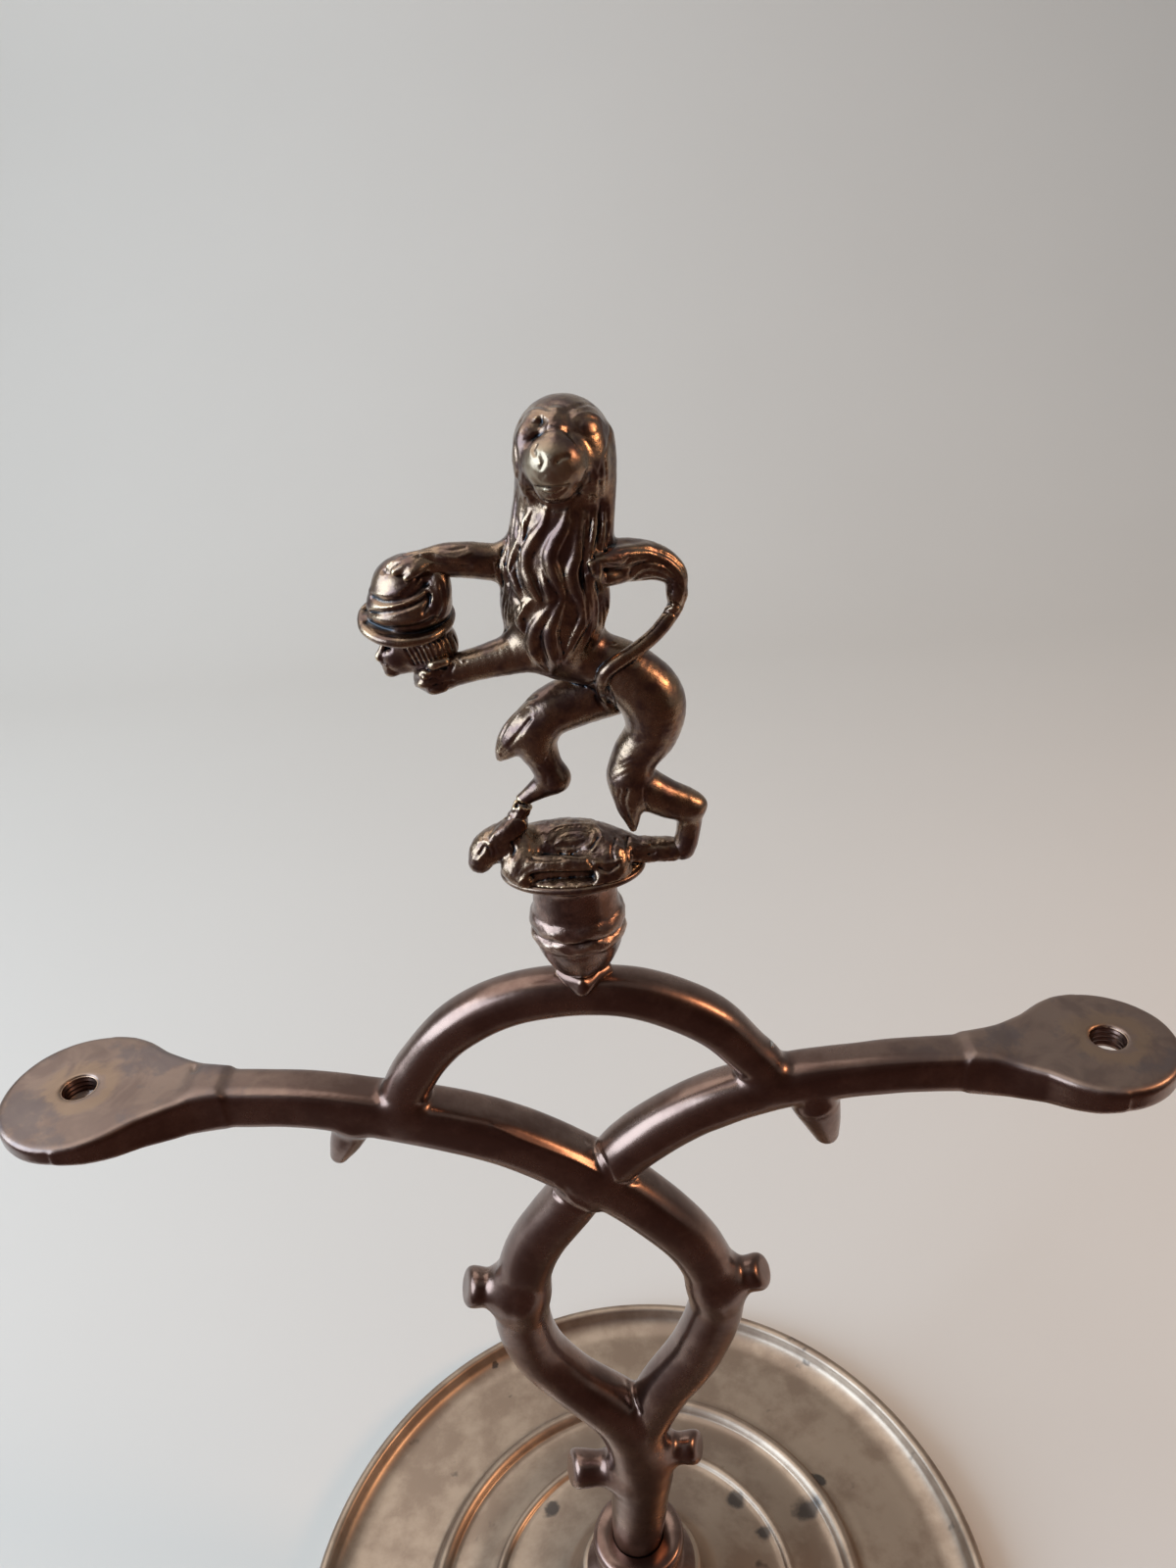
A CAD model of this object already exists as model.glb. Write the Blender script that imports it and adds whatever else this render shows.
"""Looks of a two-branch cast-brass candelabrum with a lion finial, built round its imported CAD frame.

The castings are modelled as distance fields on grids and meshed from them, and the turned pieces are
lathed. Shapes are in millimetres from the foot of the stem's axis, and the figures of the finial from
the plate that they stand on. make() and sight() turn them to metres in the part's frame. Materials
are procedural, and their places and sizes are metres in the part's frame.
"""
import math

import bpy
import numpy as np
from mathutils import Matrix, Vector


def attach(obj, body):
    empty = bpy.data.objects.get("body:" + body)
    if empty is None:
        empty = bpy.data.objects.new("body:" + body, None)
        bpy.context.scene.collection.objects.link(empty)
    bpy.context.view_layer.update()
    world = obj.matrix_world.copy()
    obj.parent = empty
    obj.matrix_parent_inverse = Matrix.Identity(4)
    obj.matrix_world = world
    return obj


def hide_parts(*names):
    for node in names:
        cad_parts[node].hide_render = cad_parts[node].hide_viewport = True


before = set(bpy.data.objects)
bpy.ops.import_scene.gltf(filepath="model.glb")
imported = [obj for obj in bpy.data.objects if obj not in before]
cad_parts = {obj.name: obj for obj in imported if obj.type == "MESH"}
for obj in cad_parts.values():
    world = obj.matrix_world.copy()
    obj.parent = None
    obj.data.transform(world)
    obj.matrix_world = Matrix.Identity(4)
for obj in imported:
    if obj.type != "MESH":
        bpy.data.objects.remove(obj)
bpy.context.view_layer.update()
MM = 0.001
COARSE = 1
FAR = 6                                 # field value away from every solid
STEM = np.array([2.75, 0, 0])           # the stem's axis in the part's frame
FINIAL = np.array([0.7, 0, 262.45])     # the finial's axis and the top of its plate

# Camera of the photograph. The figures' own lines are drawn on them from two eyes, front and back.
EYE = np.array([15.85, -192.85, 381.2])
PAN, TILT, ROLL = (math.radians(a) for a in (-3.2, 27.8, 5.22))
FIGURE_EYE = EYE - FINIAL
BACK_EYE = np.array([4, 200, 90])
SEARCH = np.arange(-26, 34, 0.1)        # steps along a sight line, from the plane of the marks


# distance fields
class Field:
    """Distances to a solid on a grid, below 0 inside it."""

    def __init__(self, low, high, step):
        self.low = np.array(low, float)
        self.step = step * COARSE
        count = np.ceil((np.array(high, float) - self.low) / self.step).astype(int) + 1
        self.d = np.full(count, FAR, np.float32)

    def window(self, low, high):
        """Slices of the grid between two corners, and the coordinates of their points."""
        shape = np.array(self.d.shape)
        a = np.clip(np.floor((np.array(low) - self.low) / self.step).astype(int), 0, shape)
        b = np.clip(np.ceil((np.array(high) - self.low) / self.step).astype(int) + 1, a, shape)
        axes = [np.float32(self.low[k]) + np.float32(self.step) * np.arange(a[k], b[k], dtype=np.float32)
                for k in range(3)]
        return tuple(slice(i, j) for i, j in zip(a, b)), np.meshgrid(*axes, indexing="ij", sparse=True)

    def patch(self, low, high):
        """An empty field over part of this one's grid."""
        where, _ = self.window(low, high)
        part = Field.__new__(Field)
        part.step = self.step
        part.low = self.low + self.step * np.array([s.start for s in where])
        part.d = np.full(self.d[where].shape, FAR, np.float32)
        part.where = where
        return part

    def merge(self, where, other, mode, k):
        """Adds or cuts away another solid, with a seam softened by k."""
        mine = self.d[where]
        self.d[where] = smin(mine, other, k) if mode == "add" else -smin(-mine, other, k)

    def at(self, points):
        """Field values at points, by trilinear reading."""
        g = (np.asarray(points) - self.low) / self.step
        g = np.clip(g, 0, np.array(self.d.shape) - 1.001)
        i = g.astype(int)
        f = g - i
        total = 0
        for corner in np.ndindex(2, 2, 2):
            c = np.array(corner)
            w = np.prod(np.where(c, f, 1 - f), axis=-1)
            j = i + c
            total = total + w * self.d[j[..., 0], j[..., 1], j[..., 2]]
        return total


def smin(a, b, k):
    """The lesser of two fields, with the seam rounded by k."""
    if not k:
        return np.minimum(a, b)
    h = np.maximum(k - np.abs(a - b), 0) / k
    return np.minimum(a, b) - h * h * k * 0.25


def spline(stations, steps=6):
    """Centripetal Catmull-Rom line through rows of numbers whose first three are a point."""
    p = np.array(stations, float)
    if len(p) == 2:
        return p[0] + (p[1] - p[0]) * np.linspace(0, 1, steps + 1)[:, None]
    p = np.vstack([2 * p[0] - p[1], p, 2 * p[-1] - p[-2]])
    gap = np.maximum(np.linalg.norm(np.diff(p[:, :3], axis=0), axis=1), 1e-6) ** 0.5
    out = []
    for i in range(1, len(p) - 2):
        a, b, c, d = p[i - 1:i + 3]
        t0, t1, t2 = gap[i - 1:i + 2]
        m1 = (c - b) + t1 * ((b - a) / t0 - (c - a) / (t0 + t1))
        m2 = (c - b) + t1 * ((d - c) / t2 - (d - b) / (t1 + t2))
        t = np.linspace(0, 1, steps, endpoint=False)[:, None]
        out.append((2 * t**3 - 3 * t**2 + 1) * b + (t**3 - 2 * t**2 + t) * m1
                   + (-2 * t**3 + 3 * t**2) * c + (t**3 - t**2) * m2)
    return np.vstack([*out, p[-2]])


def empty(where):
    return min(s.stop - s.start for s in where) <= 0


def tube_distance(field, line, squash=1, power=None, pad=2):
    """Distances to a line of balls of changing size. squash scales its depth along Y. power, if given,
    is the exponent of its section at each point: 2 is round and 8 nearly square."""
    wide = line[:, 3] * max(1, squash) + pad
    part = field.patch((line[:, :3] - wide[:, None]).min(0), (line[:, :3] + wide[:, None]).max(0))
    for i in range(len(line) - 1):
        a, b = line[i], line[i + 1]
        reach = max(wide[i], wide[i + 1])
        where, (x, y, z) = part.window(np.minimum(a[:3], b[:3]) - reach, np.maximum(a[:3], b[:3]) + reach)
        if empty(where):
            continue
        ab = b[:3] - a[:3]
        px, py, pz = x - a[0], y - a[1], z - a[2]
        h = np.clip((px * ab[0] + py * ab[1] + pz * ab[2]) / max(ab @ ab, 1e-9), 0, 1).astype(np.float32)
        dx, dy, dz = px - h * ab[0], (py - h * ab[1]) / squash, pz - h * ab[2]
        if power is None:
            d = np.sqrt(dx * dx + dy * dy + dz * dz)
        else:
            n = np.float32(power[i]) + h * np.float32(power[i + 1] - power[i])
            across = np.sqrt(dx * dx + dz * dz)
            d = (across**n + np.abs(dy)**n) ** (1 / n)
        d = d - (a[3] + h * (b[3] - a[3]))
        np.minimum(part.d[where], d * min(1, squash), out=part.d[where])
    return part


def tube(field, stations, k=0, mode="add", steps=6, squash=1, power=None):
    """A rod through stations of x, y, z and radius."""
    line = spline(stations, steps)
    if power is not None:
        power = np.interp(np.linspace(0, 1, len(line)), np.linspace(0, 1, len(power)), power)
    part = tube_distance(field, line, squash, power)
    field.merge(part.where, part.d, mode, k)


def turned_matrix(angles):
    """Rotation by angles in degrees about X, then Y, then Z."""
    a, b, c = np.radians(angles)
    rx = np.array([[1, 0, 0], [0, math.cos(a), -math.sin(a)], [0, math.sin(a), math.cos(a)]])
    ry = np.array([[math.cos(b), 0, math.sin(b)], [0, 1, 0], [-math.sin(b), 0, math.cos(b)]])
    rz = np.array([[math.cos(c), -math.sin(c), 0], [math.sin(c), math.cos(c), 0], [0, 0, 1]])
    return rz @ ry @ rx


def ball(field, centre, half, angles=(0, 0, 0), k=0, mode="add", box=0):
    """Ellipsoid, or with box > 0 a block whose edges are rounded by that radius."""
    centre, half = np.array(centre, float), np.array(half, float)
    reach = np.linalg.norm(half) + 1.5 if box else half.max() + 1.5
    where, (x, y, z) = field.window(centre - reach, centre + reach)
    if empty(where):
        return
    m = turned_matrix(angles).T
    px, py, pz = x - centre[0], y - centre[1], z - centre[2]
    q = [m[i, 0] * px + m[i, 1] * py + m[i, 2] * pz for i in range(3)]
    if box:
        e = [np.abs(c) - (h - box) for c, h in zip(q, half)]
        outside = np.sqrt(sum(np.maximum(c, 0) ** 2 for c in e))
        d = outside + np.minimum(np.maximum(np.maximum(e[0], e[1]), e[2]), 0) - box
    else:
        k0 = np.sqrt(sum((c / h) ** 2 for c, h in zip(q, half)))
        k1 = np.sqrt(sum((c / (h * h)) ** 2 for c, h in zip(q, half)))
        d = k0 * (k0 - 1) / np.maximum(k1, 1e-6)
    field.merge(where, d.astype(np.float32), mode, k)


def carve(field, line, width, depth):
    """Pushes the surface in along a line (out, where depth is below 0), by a soft-edged groove."""
    part = tube_distance(field, np.column_stack([line, np.zeros(len(line))]), pad=width * 1.05)
    bump = np.clip(1 - part.d / width, 0, 1)
    field.d[part.where] += depth * bump * bump * (3 - 2 * bump)


def drape(field, marks, eye, plane=-8, sink=0):
    """Marks are (x, z) points on an upright plane, seen from an eye. Gives where each sight line first
    meets the solid, sunk by some depth along the line, and leaves out those that miss."""
    x, z = np.array(marks, float).T
    target = np.stack([x, np.full(len(x), plane), z], 1)
    ray = target - eye
    ray /= np.linalg.norm(ray, axis=1, keepdims=True)
    points = target[:, None] + ray[:, None] * SEARCH[None, :, None]
    inside = field.at(points) < 0
    first = points[np.arange(len(x)), inside.argmax(1)]
    return (first + ray * sink)[inside.any(1)]


def chase(field, marks, eye=FIGURE_EYE, plane=-8):
    """Chased lines, each with its half width, its depth and the (x, z) points that it runs through."""
    for half, depth, path in marks:
        points = drape(field, path, eye, plane)
        if len(points) > 1:
            carve(field, spline(points, 5), half, depth)


def uneven(field, size, pitch, seed):
    """Hand-made unevenness all over a casting: a sum of soft plane waves."""
    count = 9
    rng = np.random.default_rng(seed)
    _, (x, y, z) = field.window(field.low, field.low + field.step * np.array(field.d.shape))
    total = 0
    for _ in range(count):
        way = rng.normal(size=3)
        way *= 2 * math.pi / (np.linalg.norm(way) * pitch * rng.uniform(0.6, 1.8))
        phase = rng.uniform(0, 6.28)
        total = total + size / count**0.5 * np.sin(way[0] * x + way[1] * y + way[2] * z + phase)
    field.d += total.astype(np.float32)


# meshes
def surface(field):
    """Vertices and quads of the field's zero surface."""
    d = field.d
    for k in range(3):
        for side in (0, -1):
            edge = [slice(None)] * 3
            edge[k] = side
            d[tuple(edge)] = np.maximum(d[tuple(edge)], 0.05)
    d[d == 0] = 1e-6
    inside = d < 0
    n = np.array(d.shape) - 1
    corners = [np.array(c) for c in np.ndindex(2, 2, 2)]
    total = sum(inside[c[0]:c[0] + n[0], c[1]:c[1] + n[1], c[2]:c[2] + n[2]].astype(np.int8) for c in corners)
    mixed = (total > 0) & (total < 8)
    cells = np.argwhere(mixed)
    number = np.full(mixed.shape, -1, np.int32)
    number[mixed] = np.arange(len(cells))
    place = np.zeros((len(cells), 3))
    hits = np.zeros(len(cells))
    for c in corners:
        for k in range(3):
            if c[k]:
                continue
            e = c.copy()
            e[k] = 1
            va = d[tuple((cells + c).T)]
            vb = d[tuple((cells + e).T)]
            cross = (va < 0) != (vb < 0)
            t = va[cross] / (va[cross] - vb[cross])
            place[cross] += c + t[:, None] * (e - c)
            hits[cross] += 1
    verts = field.low + (cells + place / hits[:, None]) * field.step
    quads = []
    for k in range(3):
        u, v = (k + 1) % 3, (k + 2) % 3
        lo = [slice(None)] * 3
        hi = [slice(None)] * 3
        lo[k], hi[k] = slice(0, -1), slice(1, None)
        for axis in (u, v):
            lo[axis] = hi[axis] = slice(1, -1)
        a, b = inside[tuple(lo)], inside[tuple(hi)]
        spots = np.argwhere(a != b)
        rising = a[tuple(spots.T)]
        spots[:, u] += 1
        spots[:, v] += 1
        ring = []
        for du, dv in ((-1, -1), (0, -1), (0, 0), (-1, 0)):
            cell = spots.copy()
            cell[:, u] += du
            cell[:, v] += dv
            ring.append(number[tuple(cell.T)])
        ring = np.stack(ring, 1)
        ring[~rising] = ring[~rising][:, ::-1]
        quads.append(ring)
    return verts, np.vstack(quads)


def neighbours(quads, count):
    """Every edge once each way, and how many edges meet at each vertex."""
    e = np.vstack([quads[:, [i, (i + 1) % 4]] for i in range(4)])
    e = np.unique(np.sort(e, axis=1), axis=0)
    e = np.vstack([e, e[:, ::-1]])
    degree = np.bincount(e[:, 0], minlength=count)
    return e, np.maximum(degree, 1)


def mean_of(values, e, degree):
    """The mean of each vertex's neighbours."""
    out = np.empty_like(values)
    for k in range(values.shape[1]):
        out[:, k] = np.bincount(e[:, 0], values[e[:, 1], k], len(values)) / degree
    return out


def largest(verts, quads, e):
    """Leaves out any loose crumb, keeping the body with the most vertices."""
    label = np.arange(len(verts))
    while True:
        least = label.copy()
        np.minimum.at(least, e[:, 0], label[e[:, 1]])
        least = least[least]
        if (least == label).all():
            break
        label = least
    names, counts = np.unique(label, return_counts=True)
    keep = label == names[counts.argmax()]
    renumber = np.cumsum(keep) - 1
    return verts[keep], renumber[quads[keep[quads[:, 0]]]]


def placed(name, data):
    """A new object in the scene."""
    obj = bpy.data.objects.new(name, data)
    bpy.context.scene.collection.objects.link(obj)
    return obj


def make(name, verts, quads, body, slot, replaced, material):
    """An object from quads in millimetres, with how much each point stands out stored as "wear"."""
    e, degree = neighbours(quads, len(verts))
    mesh = bpy.data.meshes.new(name)
    mesh.vertices.add(len(verts))
    mesh.vertices.foreach_set("co", ((verts + STEM) * MM).ravel())
    mesh.loops.add(quads.size)
    mesh.loops.foreach_set("vertex_index", quads.ravel())
    mesh.polygons.add(len(quads))
    mesh.polygons.foreach_set("loop_start", np.arange(0, quads.size, 4))
    mesh.polygons.foreach_set("loop_total", np.full(len(quads), 4))
    mesh.polygons.foreach_set("use_smooth", np.full(len(quads), True))
    mesh.update(calc_edges=True)
    normals = np.empty(3 * len(verts))
    mesh.vertices.foreach_get("normal", normals)
    normals = normals.reshape(-1, 3)
    lap = mean_of(verts, e, degree) - verts
    out = -(lap * normals).sum(1, keepdims=True)
    length = np.linalg.norm(verts[e[:, 0]] - verts[e[:, 1]], axis=1)
    out /= np.maximum(np.bincount(e[:, 0], length, len(verts)) / degree, 1e-6)[:, None] ** 2
    for _ in range(6):
        out = 0.5 * out + 0.5 * mean_of(out, e, degree)
    wear = mesh.attributes.new("wear", "FLOAT", "POINT")
    wear.data.foreach_set("value", np.clip(0.5 + 0.5 * out[:, 0], 0, 1).astype(np.float32))
    obj = placed(name, mesh)
    mesh.materials.append(material)
    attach(obj, body)
    if replaced:
        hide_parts(*replaced)
    return obj


def cast(name, field, body, slot, replaced, material, relax=2):
    """Meshes a field, smooths it without shrinking and makes an object of it."""
    verts, quads = surface(field)
    e, degree = neighbours(quads, len(verts))
    verts, quads = largest(verts, quads, e)
    e, degree = neighbours(quads, len(verts))
    for _ in range(relax):
        for share in (0.5, -0.52):
            verts = verts + share * (mean_of(verts, e, degree) - verts)
    return make(name, verts, quads, body, slot, replaced, material)


def runs(*groups, step=0.5):
    """A profile from groups of (radius, height) points. Each group is smooth and goes on from the end of
    the one before it, with a corner there."""
    out = []
    for group in groups:
        line = np.array([*out[-1:], *group], float)
        if len(line) > 2:
            length = np.linalg.norm(np.diff(line, axis=0), axis=1).sum()
            steps = max(2, int(length / step / (len(line) - 1)) + 1)
            line = spline(np.column_stack([line, np.zeros(len(line))]), steps)[:, :2]
        for p in line:
            if not out or np.hypot(*(np.array(out[-1]) - p)) > 1e-4:
                out.append(tuple(p))
    return np.array(out)


def lathe(profile, sides, centre=(0, 0), scale=(1, 1), shape=None):
    """Vertices and quads of a closed turned ring. shape may move the points: f(angle, r, z)."""
    count = len(profile)
    angle = np.linspace(0, 2 * math.pi, sides, endpoint=False)[:, None]
    r, z = np.broadcast_arrays(profile[None, :, 0], profile[None, :, 1])
    r, z = np.repeat(r, sides, 0), np.repeat(z, sides, 0)
    if shape:
        r, z = shape(angle, r, z)
    verts = np.stack([centre[0] + scale[0] * r * np.cos(angle),
                      centre[1] + scale[1] * r * np.sin(angle), z], -1)
    i = np.arange(sides)[:, None] * count
    j = np.arange(count)[None, :]
    nxt = (np.arange(sides)[:, None] + 1) % sides * count
    up = (j + 1) % count
    quads = np.stack([i + j, nxt + j, nxt + up, i + up], -1).reshape(-1, 4)
    return verts.reshape(-1, 3), quads


def outward(verts, quads):
    """Turns the quads over if they face inwards."""
    a, b, c, d = (verts[quads[:, k]] for k in range(4))
    if (a * np.cross(b, c)).sum() + (a * np.cross(c, d)).sum() < 0:
        return quads[:, ::-1]
    return quads


# materials
class Nodes:
    """A new material with one principled shader, and short ways to add nodes to it."""

    def __init__(self, name):
        self.material = bpy.data.materials.new(name)
        self.material.use_nodes = True
        self.tree = self.material.node_tree
        self.tree.nodes.clear()
        self.shader = self.add("ShaderNodeBsdfPrincipled")
        self.add("ShaderNodeOutputMaterial", {"Surface": self.shader.outputs[0]})
        self.spot = self.add("ShaderNodeTexCoord").outputs["Object"]

    def put(self, node, inputs):
        """Sets the inputs of a node, to values or to the outputs of other nodes."""
        for key, value in inputs.items():
            socket = node.inputs[key]
            if isinstance(value, bpy.types.NodeSocket):
                self.tree.links.new(value, socket)
            elif socket.type == "RGBA":
                socket.default_value = (*value, 1)
            else:
                socket.default_value = value

    def add(self, kind, inputs=None, **settings):
        node = self.tree.nodes.new(kind)
        for key, value in settings.items():
            setattr(node, key, value)
        self.put(node, inputs or {})
        return node

    def maths(self, operation, a, b=0):
        return self.add("ShaderNodeMath", {0: a, 1: b}, operation=operation).outputs[0]

    def plus(self, a, b):
        return self.maths("ADD", a, b)

    def minus(self, a, b):
        return self.maths("SUBTRACT", a, b)

    def times(self, a, b):
        return self.maths("MULTIPLY", a, b)

    def distance(self, a, b):
        return self.add("ShaderNodeVectorMath", {0: a, 1: b}, operation="DISTANCE").outputs["Value"]

    def split(self, vector):
        return self.add("ShaderNodeSeparateXYZ", {0: vector}).outputs

    def level(self, x, y):
        """The point (x, y, 0)."""
        return self.add("ShaderNodeCombineXYZ", {0: x, 1: y}).outputs[0]

    def mixed(self, share, first, second):
        return self.add("ShaderNodeMix", {0: share, 6: first, 7: second}, data_type="RGBA").outputs[2]

    def ramp(self, value, start, end):
        """A soft step from 0 where the value is start to 1 where it is end."""
        return self.add("ShaderNodeMapRange", {"Value": value, "From Min": start, "From Max": end},
                        interpolation_type="SMOOTHSTEP").outputs[0]

    def noise(self, scale, detail, roughness=0.5, distortion=0):
        return self.add("ShaderNodeTexNoise", {"Vector": self.spot, "Scale": scale, "Detail": detail,
                                               "Roughness": roughness, "Distortion": distortion}).outputs[0]


PATCHES = (0.38, 0.62)      # noise values between which clean metal turns to tarnish
HOLLOW = (0.45, 0.25)       # wear values between which a hollow fills with dirt
RUB = 0.24                  # wear over which a raised place turns bright
COAT, COAT_ROUGH = 0.4, 0.18


def patina(name, metal, tarnish, bright, deep, rough=0.26, bright_from=0.56, mottle=120, spots=0,
           bump=0.25, worn=True, extra=None):
    """Old brass: metal and tarnish in soft patches, bright where it stands out, dark in the hollows."""
    nodes = Nodes(name)
    plus, times, ramp, mixed = nodes.plus, nodes.times, nodes.ramp, nodes.mixed
    broad = nodes.noise(mottle, 5, 0.62)
    fine = nodes.noise(mottle * 9, 4, 0.6)
    colour = mixed(ramp(broad, *PATCHES), metal, tarnish)
    roughness = plus(times(broad, 0.16), rough - 0.08)
    roughness = plus(roughness, times(fine, 0.06))
    if extra:
        colour, roughness = extra(nodes, broad, colour, roughness)
    if worn:
        wear = nodes.add("ShaderNodeAttribute", attribute_name="wear").outputs["Fac"]
        wear = plus(wear, times(nodes.minus(fine, 0.5), 0.1))
        colour = mixed(ramp(wear, *HOLLOW), colour, deep)
        colour = mixed(ramp(wear, bright_from, bright_from + RUB), colour, bright)
    if spots:
        pits = nodes.noise(mottle * 1.5, 3, 0.55)
        stain = times(ramp(pits, 1 - spots, 1.09 - spots), 0.8)
        colour = mixed(stain, colour, deep)
        roughness = plus(roughness, times(stain, 0.2))
    dents = plus(broad, times(fine, 0.35))
    relief = nodes.add("ShaderNodeBump", {"Height": dents, "Strength": bump, "Distance": 0.0004})
    nodes.put(nodes.shader, {"Base Color": colour, "Roughness": roughness, "Metallic": 1,
                             "Coat Weight": COAT, "Coat Roughness": COAT_ROUGH, "Normal": relief.outputs[0]})
    return nodes.material


RINGS_MIDDLE, RING_AWAY = 0.0022, 0.1096        # where the yellow rings of the two discs are, along X
DISC_FROM, DISC_TO = 0.052, 0.09                # distances from the middle over which an arm turns tan
RING_START, RING_FULL, RING_FADE, RING_END = 0.0035, 0.005, 0.0065, 0.0095
TAN, DARK_TAN = (0.3, 0.215, 0.175), (0.23, 0.16, 0.135)
YELLOW, GREY = (0.36, 0.245, 0.16), (0.18, 0.145, 0.145)


def disc_tops(nodes, broad, colour, roughness):
    """The matt tan tops of the discs, with a yellow ring round each hole and grey stains round that."""
    times, ramp, mixed = nodes.times, nodes.ramp, nodes.mixed
    place = nodes.split(nodes.spot)
    along = nodes.maths("ABSOLUTE", nodes.minus(place[0], RINGS_MIDDLE))
    swirl = nodes.noise(95, 4, distortion=1.6)
    reach = nodes.distance(nodes.level(along, place[1]), (RING_AWAY, 0, 0))
    reach = nodes.plus(reach, times(nodes.minus(swirl, 0.5), 0.009))
    up = nodes.split(nodes.add("ShaderNodeNewGeometry").outputs["Normal"])[2]
    top = times(ramp(up, 0.35, 0.9), ramp(along, DISC_FROM, DISC_TO))
    ring = times(ramp(reach, RING_START, RING_FULL), ramp(reach, RING_END, RING_FADE))
    stain = times(ramp(broad, 0.49, 0.6), ramp(reach, RING_FADE, RING_END))
    tan = mixed(ramp(swirl, 0.35, 0.65), TAN, DARK_TAN)
    tan = mixed(times(ring, 0.6), tan, YELLOW)
    tan = mixed(times(stain, 0.7), tan, GREY)
    return mixed(top, colour, tan), nodes.plus(roughness, times(top, 0.14))


BASE_STAINS = [         # x, y and radius
    (0.0542, 0.025, 0.0038), (0.0396, 0.017, 0.0026), (0.0317, 0.027, 0.0028), (0.0588, 0.0347, 0.0018),
    (-0.0425, 0.0679, 0.0014), (-0.0487, 0.0795, 0.0011), (0.0124, 0.0787, 0.0012), (-0.0252, 0.0256, 0.0024),
]
STAIN_COLOUR = (0.05, 0.045, 0.045)


def base_stains(nodes, broad, colour, roughness):
    """Dark blots on the dish."""
    edge = nodes.times(nodes.minus(broad, 0.5), 0.012)
    place = nodes.split(nodes.spot)
    on_base = nodes.level(place[0], place[1])
    for x, y, radius in BASE_STAINS:
        away = nodes.plus(nodes.distance(on_base, (x, y, 0)), edge)
        blot = nodes.times(nodes.ramp(away, radius * 1.2, radius * 0.5), 0.85)
        colour = nodes.mixed(blot, colour, STAIN_COLOUR)
    return colour, roughness


MUZZLE, MUZZLE_RADIUS = (0.0058, -0.013, 0.3398), 0.0062
BARE_METAL = (0.35, 0.275, 0.19)


def worn_muzzle(nodes, broad, colour, roughness):
    """The lion's muzzle, rubbed to bare yellow metal."""
    away = nodes.distance(nodes.spot, MUZZLE)
    rubbed = nodes.times(nodes.ramp(away, MUZZLE_RADIUS, 0.003), nodes.ramp(broad, 0.3, 0.55))
    return nodes.mixed(rubbed, colour, BARE_METAL), nodes.plus(roughness, nodes.times(rubbed, 0.1))


SOOT = (0.03, 0.016, 0.012)
STEM_BRASS = patina("stem_brass", (0.24, 0.155, 0.125), (0.155, 0.09, 0.072), (0.58, 0.4, 0.28), SOOT,
                    bright_from=0.6, mottle=75, bump=0.12, extra=disc_tops)
KNOP_BRASS = patina("knop_brass", (0.27, 0.175, 0.14), (0.12, 0.07, 0.056), (0.85, 0.64, 0.48), SOOT,
                    bright_from=0.53, mottle=190, spots=0.3, bump=0.5)
FINIAL_BRASS = patina("finial_brass", (0.3, 0.205, 0.137), (0.135, 0.082, 0.07), (0.66, 0.5, 0.32),
                      (0.009, 0.013, 0.02), bright_from=0.62, mottle=230, bump=0.3, extra=worn_muzzle)
BASE_BRASS = patina("base_brass", (0.42, 0.325, 0.25), (0.3, 0.22, 0.165), (0.8, 0.66, 0.5),
                    (0.06, 0.05, 0.045), rough=0.4, mottle=60, spots=0.34, bump=0.1, extra=base_stains)

# The pins, studs, nut and washer keep the frame's own meshes.
STEEL = patina("pin_steel", (0.4, 0.39, 0.38), (0.25, 0.24, 0.23), (0.6, 0.59, 0.57), (0.1, 0.09, 0.08),
               rough=0.4, mottle=400, worn=False)
for node in ("base_washer", "base_nut", "stem_stud", "finial_stud", "fork_pin", "crossing_pin_upper",
             "crossing_pin_lower", "arch_pin_left", "arch_pin_right", "lion_foot_pin", "head_pin"):
    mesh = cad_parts[node].data
    mesh.materials.clear()
    mesh.materials.append(STEEL)


# base and socket
def turned_piece(name, profile, sides, body, slot, replaced, material, **options):
    """A piece turned from a profile of (radius, height) points."""
    verts, quads = lathe(profile, sides, **options)
    return make(name, verts, outward(verts, quads), body, slot, replaced, material)


def hand_turned(size, seed):
    """Small departures from round, as f(angle, r, z)."""
    waves = 6
    rng = np.random.default_rng(seed)
    terms = [(rng.uniform(0.3, 1) * size / waves**0.5, rng.integers(2, 9), rng.uniform(0, 6.28),
              rng.uniform(0.05, 0.35)) for _ in range(waves)]

    def shape(angle, r, z):
        lift = sum(s * np.sin(n * angle + p + q * r) for s, n, p, q in terms)
        return r + 0.4 * lift, z + lift * np.clip((z - 2) / 6, 0, 1)
    return shape


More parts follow.
